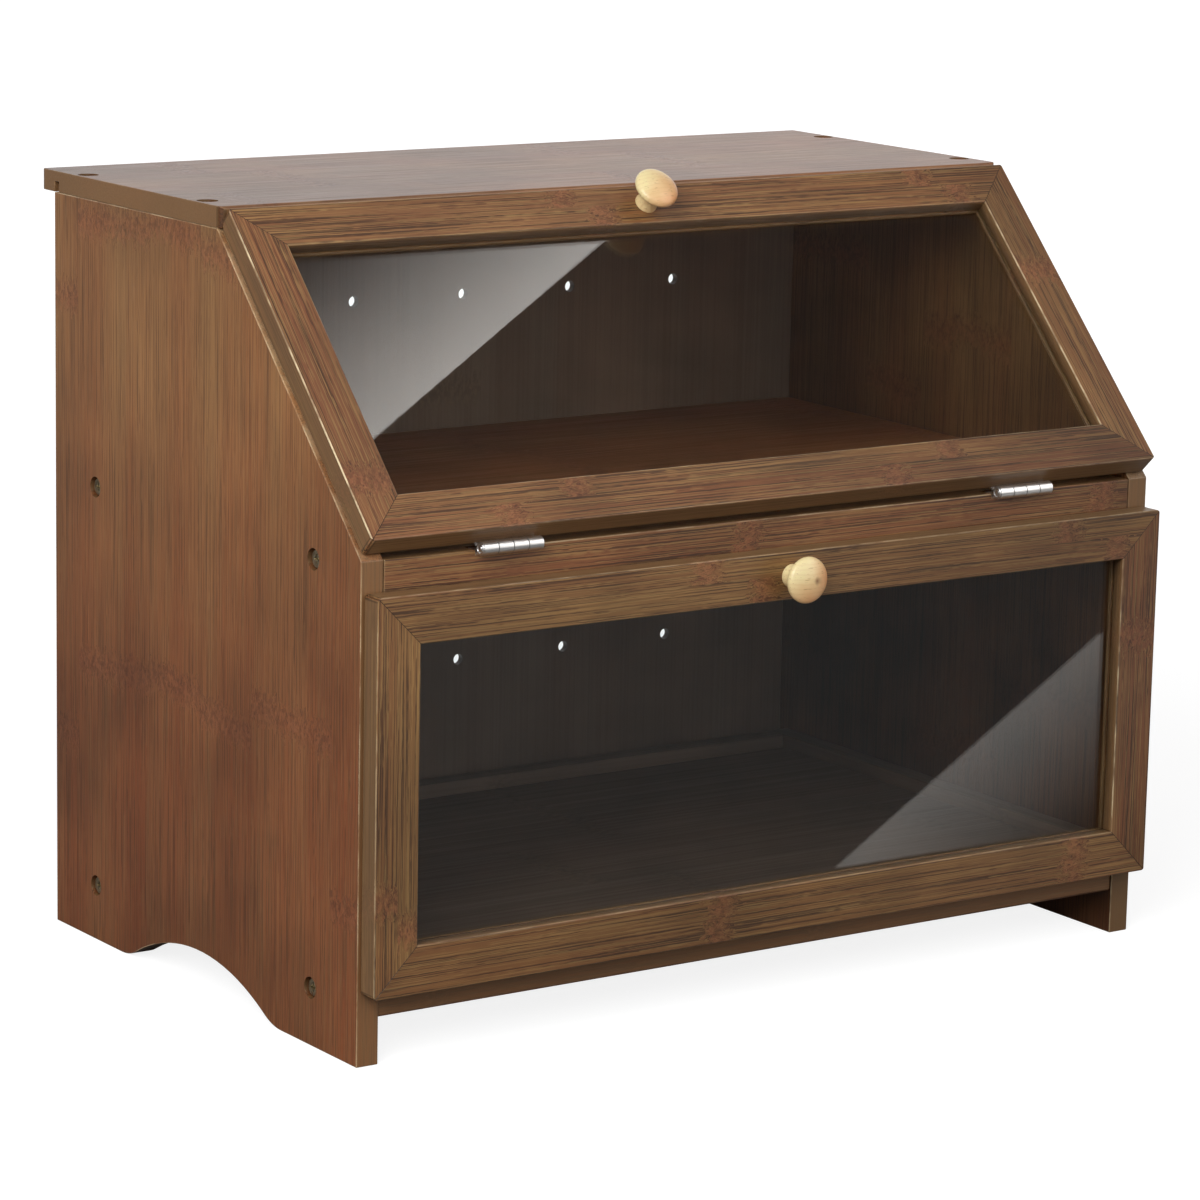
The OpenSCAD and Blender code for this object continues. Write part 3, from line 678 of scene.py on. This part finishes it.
def screw_steel():
    # Cold-headed screws with yellowed zinc plating, dented by the driver. The dents are 1.5 mm wide, coarser
    # than real ones, so that they show as glints
    name = "Dull zinc plated steel"
    marks = (700.0, 700.0, 700.0)
    return material_named(name, steel_material, name, "#d8ccae", 0.30, 0.45, marks, 0.8 * MM)


# ---- Pieces ----


def wooden_piece(node, material):
    """A board of the box: a copy of its solid with worn edges that carry a painted highlight, dark mitres and
    grain along it.
    """
    wood = bpy.context.scene.bread_box_wood
    along, across = GRAIN[node]
    mesh = merged_copy(node)
    worn = mesh.faces.layers.float.new("worn")
    joint = mesh.faces.layers.float.new("joint")
    strip = wood.strip_width
    mitred = "rail_top" in node or "rail_bottom" in node or "stile" in node
    if mitred:
        cuts = [e for e in sharp_edges(mesh) if any(is_mitre(f, along, across) for f in e.link_faces)]
        ease_edges(mesh, cuts, wood.joint_ease, 1, joint)
        strip /= 2
    else:
        groups = [group for group in edge_loops(sharp_edges(mesh)) if loop_size(group) > HOLE_RIM]
        ease_edges(mesh, [edge for group in groups for edge in group], wood.board_ease, 2, worn)
    mark_faces(mesh, node)
    lay_grain(mesh, node, strip)
    finish_piece(mesh, "wood_" + node, node, material)


def steel_piece(node, ease):
    """A hinge part with its edges eased."""
    mesh = merged_copy(node)
    layer = mesh.faces.layers.float.new("worn")
    ease_edges(mesh, sharp_edges(mesh), ease, 2, layer)
    finish_piece(mesh, "steel_" + node, node, hinge_steel())


def knuckle_lips(side, knuckles):
    """The ends of the rolled sheet on the door leaf's knuckles, as strips bent over the middle of each."""
    node = f"hinge_door_leaf_{side}"
    low, high = extent(f"hinge_pin_{side}", X_AXIS)
    pin_low, pin_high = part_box(f"hinge_pin_{side}")
    middle = (Vector(pin_low) + Vector(pin_high)) / 2
    reach = extent(f"hinge_rail_leaf_{side}", Z_AXIS)
    radius = (reach[1] - reach[0]) / 2
    step = (high - low) / knuckles
    margin = 0.16 * step
    mesh = bmesh.new()
    for index in range(1, knuckles, 2):
        start = Vector((low + index * step + margin, middle.y, middle.z + radius))
        edge = [mesh.verts.new(start), mesh.verts.new(start + X_AXIS * (step - 2 * margin))]
        line = mesh.edges.new(edge)
        bmesh.ops.spin(mesh, geom=edge + [line], cent=middle, axis=X_AXIS, angle=math.radians(62), steps=8)
    bmesh.ops.recalc_face_normals(mesh, faces=mesh.faces)
    bmesh.ops.rotate(mesh, cent=middle, matrix=Matrix.Rotation(math.radians(-12), 3, "X"), verts=mesh.verts)
    bmesh.ops.solidify(mesh, geom=mesh.faces[:], thickness=0.4 * MM)
    bmesh.ops.recalc_face_normals(mesh, faces=mesh.faces)
    finish_piece(mesh, "lips_" + side, node, hinge_steel(), stands_in=False)


def turn(profile, middle, axis, across):
    """A mesh turned round an axis from pairs of radius and height, and closed at both ends."""
    mesh = bmesh.new()
    places = [(0.0, profile[0][1]), *profile, (0.0, profile[-1][1])]
    line = [mesh.verts.new(middle + across * radius + axis * height) for radius, height in places]
    edges = [mesh.edges.new(pair) for pair in zip(line, line[1:])]
    bmesh.ops.spin(
        mesh, geom=line + edges, cent=middle, axis=axis, angle=2 * math.pi, steps=72, use_merge=True
    )
    bmesh.ops.remove_doubles(mesh, verts=mesh.verts, dist=1e-5)
    bmesh.ops.recalc_face_normals(mesh, faces=mesh.faces)
    return mesh


def pin_end(side):
    """The hinge pin's pressed end: a ring and a rivet head, with a groove between them."""
    node = f"hinge_pin_{side}"
    low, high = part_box(node)
    middle = (Vector(low) + Vector(high)) / 2
    middle.x = low[0]
    # Radius and height in mm
    profile = (
        (2.3, -0.1), (2.3, 0.3), (2.1, 0.45), (1.8, 0.4), (1.6, 0.05), (1.2, 0.02), (1.0, 0.35), (0.6, 0.4),
    )
    mesh = turn([(radius * MM, height * MM) for radius, height in profile], middle, -X_AXIS, Z_AXIS)
    finish_piece(mesh, "pin_end_" + side, node, hinge_steel(), stands_in=False)


def turned_knob(node, axis, across, knot_place):
    """A mushroom knob turned round its axis: a foot, a waist, a round rim and a low dome.

    knot_place is where its knot lies, across from the knob's middle and up from it.
    """
    low, high = extent(node, axis)
    side = axis.cross(across)
    middle = sum(extent(node, across)) / 2 * across + sum(extent(node, side)) / 2 * side + low * axis
    tall = high - low
    wide = (extent(node, across)[1] - extent(node, across)[0]) / 2
    # Radius as a share of the head's, and height as a share of the knob's
    profile = (
        (0.50, 0.000), (0.505, 0.030), (0.49, 0.080), (0.465, 0.150), (0.455, 0.230), (0.455, 0.320),
        (0.475, 0.400), (0.54, 0.470), (0.66, 0.530), (0.80, 0.580), (0.92, 0.630), (0.985, 0.685),
        (1.0, 0.735), (0.985, 0.785), (0.95, 0.828), (0.88, 0.868), (0.76, 0.905), (0.60, 0.939),
        (0.42, 0.966), (0.25, 0.983), (0.10, 0.992),
    )
    mesh = turn([(radius * wide, height * tall) for radius, height in profile], middle, axis, across)
    layer = mesh.verts.layers.float_vector.new("board")
    knot = mesh.verts.layers.float.new("knot")
    rosy_and_shade = mesh.verts.layers.float.new("rosy_and_shade")
    # Each knob comes from another place of the wood
    shift = Vector((0.05, 0.08, 0.02)) * (1 if node == "door_knob" else 2.7)
    spot = middle + across * knot_place[0] + side * knot_place[1] + axis * tall
    for vert in mesh.verts:
        place = vert.co - middle
        vert[layer] = Vector((place.dot(across), place.dot(side), place.dot(axis))) + shift
        vert[knot] = max(0.0, 1.0 - (vert.co - spot).length / (2.0 * MM))
        # The knob's right and lower side, away from the key softbox, is painted rosier as shade
        vert[rosy_and_shade] = (place.dot(across) * 0.8 - place.dot(side) * 0.6) / wide
    finish_piece(mesh, "turned_" + node, node, pale_wood())


# ---- Settings ----


class BreadBoxWood(bpy.types.PropertyGroup):
    """Colours and sizes of the stained bamboo."""

    strip_width: bpy.props.FloatProperty(
        name="Strip width", description="Width of one bamboo strip", default=0.021, unit="LENGTH"
    )
    board_ease: bpy.props.FloatProperty(
        name="Board edges", description="Easing of the boards' sharp edges", default=0.0004, unit="LENGTH"
    )
    joint_ease: bpy.props.FloatProperty(
        name="Mitre edges", description="Easing of the frames' mitred ends", default=0.00012, unit="LENGTH"
    )
    seam_contrast: bpy.props.FloatProperty(
        name="Glue line contrast", description="How dark the glue lines are", default=0.18, subtype="FACTOR"
    )
    node_contrast: bpy.props.FloatProperty(
        name="Cane node contrast", description="How plain the nodes show", default=0.45, subtype="FACTOR"
    )
    # How pale the worn edges are: the paleness is partly wear and partly painted highlight
    edge_wear_and_highlight: bpy.props.FloatProperty(
        name="Edge wear and highlight", description="How pale the sanded edges and their painted highlight are", default=1.0, subtype="FACTOR"
    )
    olive: bpy.props.StringProperty(name="Olive tone", description="sRGB hex", default="#a27448")
    red: bpy.props.StringProperty(name="Red tone", description="sRGB hex", default="#a65c33")
    light: bpy.props.StringProperty(name="Light fibres", description="sRGB hex", default="#bd8f5c")
    dark: bpy.props.StringProperty(name="Dark fibres", description="sRGB hex", default="#5c3c24")
    side: bpy.props.StringProperty(name="Narrow sides", description="sRGB hex", default="#8c6c48")
    end: bpy.props.StringProperty(name="Board ends", description="sRGB hex", default="#95714a")
    node_dark: bpy.props.StringProperty(name="Dark node specks", description="sRGB hex", default="#74402a")
    node_light: bpy.props.StringProperty(name="Light node specks", description="sRGB hex", default="#b06c48")
    # The colour of the worn edges, which is also their painted highlight
    worn: bpy.props.StringProperty(name="Worn and highlit edges", description="sRGB hex", default="#ecd5ab")
    # Dirt in the mitred joints, also used as painted shade in the holes
    joint: bpy.props.StringProperty(name="Dirt in the joints", description="sRGB hex", default="#2b1d12")


class BreadBoxStage(bpy.types.PropertyGroup):
    """Camera and light of the plain stage."""

    lens: bpy.props.FloatProperty(
        name="Lens",
        description="Focal length on a 36 mm wide sensor",
        default=138.04,
        subtype="DISTANCE_CAMERA",
    )
    camera_place: bpy.props.FloatVectorProperty(
        name="Camera place",
        description="Where the camera stands",
        default=(-1.1153, -1.60775, 0.54975),
        subtype="TRANSLATION",
    )
    azimuth: bpy.props.FloatProperty(
        name="Azimuth", description="How far it looks to the right of +Y", default=0.6043, subtype="ANGLE"
    )
    drop: bpy.props.FloatProperty(
        name="Drop", description="How far it looks down", default=0.2027, subtype="ANGLE"
    )
    roll: bpy.props.FloatProperty(
        name="Roll", description="How far it is turned about its view", default=0.0207, subtype="ANGLE"
    )
    ambient: bpy.props.FloatProperty(
        name="Ambient light", description="Strength of light from all round", default=0.5, subtype="FACTOR"
    )
    dim: bpy.props.FloatProperty(
        name="Dark side",
        description="Strength of the studio's dark side in reflections",
        default=0.06,
        subtype="FACTOR",
    )


# ---- Stage ----


def place_camera(scene, stage):
    """The camera stands where the photograph was taken from."""
    heading, drop, roll = stage.azimuth, stage.drop, stage.roll
    look = Vector((math.sin(heading) * math.cos(drop), math.cos(heading) * math.cos(drop), -math.sin(drop)))
    right = look.cross(Z_AXIS).normalized()
    up = right.cross(look)
    side = right * math.cos(roll) + up * math.sin(roll)
    top = up * math.cos(roll) - right * math.sin(roll)
    facing = Matrix((side, top, -look)).transposed().to_4x4()
    lens = bpy.data.cameras.new("Camera")
    lens.sensor_width = 36.0
    lens.lens = stage.lens
    lens.clip_end = 50.0
    camera = bpy.data.objects.new("Camera", lens)
    camera.matrix_world = Matrix.Translation(stage.camera_place) @ facing
    scene.collection.objects.link(camera)
    scene.camera = camera


def open_light_path(tree):
    """1 where the eye sees straight, through panes or in mirrors, and 0 for light that falls on things."""
    depth = add(tree, "ShaderNodeLightPath", out="Diffuse Depth")
    return add(tree, "ShaderNodeMath", {0: depth, 1: 0.5}, operation="LESS_THAN")


def backdrop_share(tree, place):
    """1 where a place or a direction lies behind the box for the camera, and 0 at its sides and in front."""
    heading = bpy.context.scene.bread_box_stage.azimuth
    behind = (math.sin(heading), math.cos(heading), 0.0)
    place = add(tree, "ShaderNodeVectorMath", {0: place}, operation="NORMALIZE")
    share = add(tree, "ShaderNodeVectorMath", {0: place, 1: behind}, out="Value", operation="DOT_PRODUCT")
    return add(tree, "ShaderNodeMapRange", {"Value": share, "From Min": 0.5, "From Max": 0.75})


def seen_white(tree, behind):
    """How white the backdrop shows: fully to the camera, and in or through surfaces where it lies behind."""
    camera = add(tree, "ShaderNodeLightPath", out="Is Camera Ray")
    glossy = add(tree, "ShaderNodeLightPath", out="Is Glossy Ray")
    through = add(tree, "ShaderNodeLightPath", out="Is Transmission Ray")
    indirect = add(tree, "ShaderNodeMath", {0: glossy, 1: through}, operation="MAXIMUM")
    indirect = add(tree, "ShaderNodeMath", {0: indirect, 1: behind}, operation="MULTIPLY")
    white = add(tree, "ShaderNodeMath", {0: camera, 1: indirect}, operation="MAXIMUM")
    return add(tree, "ShaderNodeMath", {0: white, 1: open_light_path(tree)}, operation="MULTIPLY")


def lay_floor(scene):
    """A white paper floor, lit from behind so that it shows white, with the box's shadow on it."""
    mesh = bmesh.new()
    bmesh.ops.create_grid(mesh, x_segments=1, y_segments=1, size=30.0)
    data = bpy.data.meshes.new("floor")
    mesh.to_mesh(data)
    mesh.free()
    floor = bpy.data.objects.new("floor", data)
    scene.collection.objects.link(floor)
    material, tree = fresh_material("Matt white paper floor")
    place = add(tree, "ShaderNodeTexCoord", out="Object")
    away = add(tree, "ShaderNodeVectorMath", {0: place}, out="Value", operation="LENGTH")
    far = add(tree, "ShaderNodeMapRange", {"Value": away, "From Min": 0.5, "From Max": 1.3})
    white = seen_white(tree, backdrop_share(tree, place))
    glow = add(tree, "ShaderNodeMapRange", {"Value": far, "To Min": 0.85, "To Max": 1.0})
    glow = add(tree, "ShaderNodeMath", {0: glow, 1: white}, operation="MULTIPLY")
    glow = add(tree, "ShaderNodeEmission", {"Color": (1.0, 1.0, 1.0, 1.0), "Strength": glow})
    paper = add(tree, "ShaderNodeBsdfDiffuse", {"Color": linear("#868686"), "Roughness": 0.9})
    both = add(tree, "ShaderNodeAddShader", {0: paper, 1: glow})
    add(tree, "ShaderNodeOutputMaterial", {"Surface": both})
    data.materials.append(material)


def hang_world(scene, stage):
    """Light from all round, white behind the box and dark in front of it to anything that reflects."""
    world = bpy.data.worlds.new("Soft white studio")
    world.use_nodes = True
    tree = world.node_tree
    tree.nodes.clear()
    direction = add(tree, "ShaderNodeTexCoord", out="Generated")
    white = seen_white(tree, backdrop_share(tree, direction))
    falls = add(tree, "ShaderNodeMath", {0: 1.0, 1: open_light_path(tree)}, operation="SUBTRACT")
    level = add(tree, "ShaderNodeMapRange", {"Value": falls, "To Min": stage.dim, "To Max": stage.ambient})
    level = add(tree, "ShaderNodeMath", {0: level, 1: white}, operation="MAXIMUM")
    sky = add(tree, "ShaderNodeBackground", {"Color": (1.0, 1.0, 1.0, 1.0), "Strength": level})
    add(tree, "ShaderNodeOutputWorld", {"Surface": sky})
    scene.world = world


def hang_softbox(scene, name, place, power, size):
    """A square lamp that faces the box."""
    lamp = bpy.data.lights.new(name, "AREA")
    lamp.energy = power
    lamp.size = size
    softbox = bpy.data.objects.new(name, lamp)
    away = (Vector(place) - BOX_MIDDLE).to_track_quat("Z", "Y").to_matrix().to_4x4()
    softbox.matrix_world = Matrix.Translation(place) @ away
    scene.collection.objects.link(softbox)


def hang_card(name, corners, levels, strength):
    """A bright card that shows only in reflections. Each corner has its own level of light."""
    mesh = bmesh.new()
    glow = mesh.verts.layers.float.new("glow")
    verts = [mesh.verts.new(corner) for corner in corners]
    for vert, level in zip(verts, levels):
        vert[glow] = level
    mesh.faces.new(verts)
    data = bpy.data.meshes.new(name)
    mesh.to_mesh(data)
    mesh.free()
    card = bpy.data.objects.new(name, data)
    bpy.context.scene.collection.objects.link(card)
    material, tree = fresh_material(name + " cloth")
    level = add(tree, "ShaderNodeAttribute", out="Fac", attribute_name="glow")
    level = add(tree, "ShaderNodeMath", {0: level, 1: 1.6}, operation="POWER")
    level = add(tree, "ShaderNodeMath", {0: level, 1: strength}, operation="MULTIPLY")
    light = add(tree, "ShaderNodeEmission", {"Color": linear("#fffaf5"), "Strength": level})
    add(tree, "ShaderNodeOutputMaterial", {"Surface": light})
    data.materials.append(material)
    card.visible_camera = False
    card.visible_diffuse = False
    card.visible_shadow = False


def hang_pane_card(stage, name, pane, up, first, second, depth, reach, strength):
    """A card whose mirror image in a pane ends sharply on the line from first to second and fades from it."""
    pane_low, pane_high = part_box(pane)
    middle = (pane_low[0] + pane_high[0]) / 2
    off = X_AXIS.cross(up)
    low = extent(pane, up)[0]
    front = extent(pane, off)[1]
    first = Vector(first) * MM
    second = Vector(second) * MM
    line = (second - first).normalized()
    to_left = Vector((-line.y, line.x)) * depth * MM
    spare = line * 60 * MM
    spots = (first - spare, second + spare, second + spare + to_left, first - spare + to_left)
    corners = [X_AXIS * (middle + spot.x) + up * (low + spot.y) + off * front for spot in spots]
    eye = Vector(stage.camera_place)
    mirrored = eye - 2 * (eye.dot(off) - front) * off
    corners = [mirrored + (corner - mirrored) * (1 + reach) for corner in corners]
    hang_card(name, corners, (1.0, 1.0, 0.0, 0.0), strength)


# ---- Operators ----


class BREADBOX_OT_carcass(bpy.types.Operator):
    """Dress the side panels, boards, shelf, rail and back panel."""

    bl_idname = "breadbox.carcass"
    bl_label = "Carcass boards"

    def execute(self, context):
        for node in ("side_panel_left", "side_panel_right", "top_board", "bottom_board", "middle_shelf"):
            wooden_piece(node, board_bamboo())
        wooden_piece("middle_rail", frame_bamboo())
        wooden_piece("back_panel", dark_shaded_board())
        wooden_piece("rail_dowels", pale_wood())
        return {"FINISHED"}


class BREADBOX_OT_frames(bpy.types.Operator):
    """Dress the mitred frames of the flap door and the drawer front."""

    bl_idname = "breadbox.frames"
    bl_label = "Mitred frames"

    def execute(self, context):
        for front in ("door", "drawer"):
            for part in ("rail_top", "rail_bottom", "stile_left", "stile_right"):
                wooden_piece(f"{front}_{part}", frame_bamboo())
        return {"FINISHED"}


class BREADBOX_OT_tray(bpy.types.Operator):
    """Dress the drawer's low tray and its runners."""

    bl_idname = "breadbox.tray"
    bl_label = "Drawer tray"

    def execute(self, context):
        for node in ("tray_side_left", "tray_side_right", "tray_back", "tray_front", "tray_floor"):
            wooden_piece(node, dark_shaded_board())
        for node in ("tray_runner_left", "tray_runner_right"):
            wooden_piece(node, pale_wood())
        return {"FINISHED"}


class BREADBOX_OT_panes(bpy.types.Operator):
    """Dress the two clear panes."""

    bl_idname = "breadbox.panes"
    bl_label = "Clear panes"

    def execute(self, context):
        material = material_named("Clear acrylic sheet", acrylic_material)
        for node in ("door_pane", "drawer_pane"):
            mesh = merged_copy(node)
            layer = mesh.faces.layers.float.new("worn")
            ease_edges(mesh, sharp_edges(mesh), 0.2 * MM, 2, layer)
            finish_piece(mesh, "clear_" + node, node, material)
        return {"FINISHED"}


class BREADBOX_OT_knobs(bpy.types.Operator):
    """Turn the two knobs."""

    bl_idname = "breadbox.knobs"
    bl_label = "Turned knobs"

    def execute(self, context):
        turned_knob("door_knob", OFF_SLOPE, X_AXIS, (9.0 * MM, 9.0 * MM))
        turned_knob("drawer_knob", -Y_AXIS, X_AXIS, (2.7 * MM, 0.0))
        return {"FINISHED"}


class BREADBOX_OT_hinges(bpy.types.Operator):
    """Dress the hinge leaves and pins."""

    bl_idname = "breadbox.hinges"
    bl_label = "Steel hinges"

    def execute(self, context):
        for side in ("left", "right"):
            for part in ("rail_leaf", "door_leaf", "pin"):
                steel_piece(f"hinge_{part}_{side}", 0.18 * MM)
            knuckle_lips(side, knuckles=4)
            pin_end(side)
        return {"FINISHED"}


class BREADBOX_OT_screws(bpy.types.Operator):
    """Give the screws and brads their plated finish."""

    bl_idname = "breadbox.screws"
    bl_label = "Screws and brads"

    def execute(self, context):
        for name, node in NODES.items():
            if "screw" in name or "brads" in name:
                node.data.materials.clear()
                node.data.materials.append(screw_steel())
        return {"FINISHED"}


class BREADBOX_OT_stage(bpy.types.Operator):
    """Set up the camera, a plain pale floor and soft studio light."""

    bl_idname = "breadbox.stage"
    bl_label = "Stage"

    def execute(self, context):
        scene = context.scene
        stage = scene.bread_box_stage
        scene.view_settings.view_transform = "Standard"
        place_camera(scene, stage)
        lay_floor(scene)
        hang_world(scene, stage)
        for name, softbox in SOFTBOXES.items():
            hang_softbox(scene, name, *softbox)
        for name, card in PANE_CARDS.items():
            hang_pane_card(stage, name, *card)
        hang_card("Side card", SIDE_CARD, SIDE_CARD_LEVELS, SIDE_CARD_STRENGTH)
        return {"FINISHED"}


class BREADBOX_PT_panel(bpy.types.Panel):
    """Lists the steps that dress the bread box."""

    bl_idname = "BREADBOX_PT_panel"
    bl_label = "Bread box"
    bl_space_type = "VIEW_3D"
    bl_region_type = "UI"
    bl_category = "Bread box"

    def draw(self, context):
        layout = self.layout
        for group in (context.scene.bread_box_wood, context.scene.bread_box_stage):
            box = layout.box()
            for name in group.__annotations__:
                box.prop(group, name)
        for operator in OPERATORS:
            layout.operator(operator.bl_idname)


OPERATORS = (
    BREADBOX_OT_carcass,
    BREADBOX_OT_frames,
    BREADBOX_OT_tray,
    BREADBOX_OT_panes,
    BREADBOX_OT_knobs,
    BREADBOX_OT_hinges,
    BREADBOX_OT_screws,
    BREADBOX_OT_stage,
)
CLASSES = (BreadBoxWood, BreadBoxStage) + OPERATORS + (BREADBOX_PT_panel,)


def register():
    for item in CLASSES:
        bpy.utils.register_class(item)
    bpy.types.Scene.bread_box_wood = bpy.props.PointerProperty(type=BreadBoxWood)
    bpy.types.Scene.bread_box_stage = bpy.props.PointerProperty(type=BreadBoxStage)


def unregister():
    del bpy.types.Scene.bread_box_stage
    del bpy.types.Scene.bread_box_wood
    for item in reversed(CLASSES):
        bpy.utils.unregister_class(item)


def main():
    register()
    bpy.ops.breadbox.carcass()
    bpy.ops.breadbox.frames()
    bpy.ops.breadbox.tray()
    bpy.ops.breadbox.panes()
    bpy.ops.breadbox.knobs()
    bpy.ops.breadbox.hinges()
    bpy.ops.breadbox.screws()
    bpy.ops.breadbox.stage()


if __name__ == "__main__":
    main()
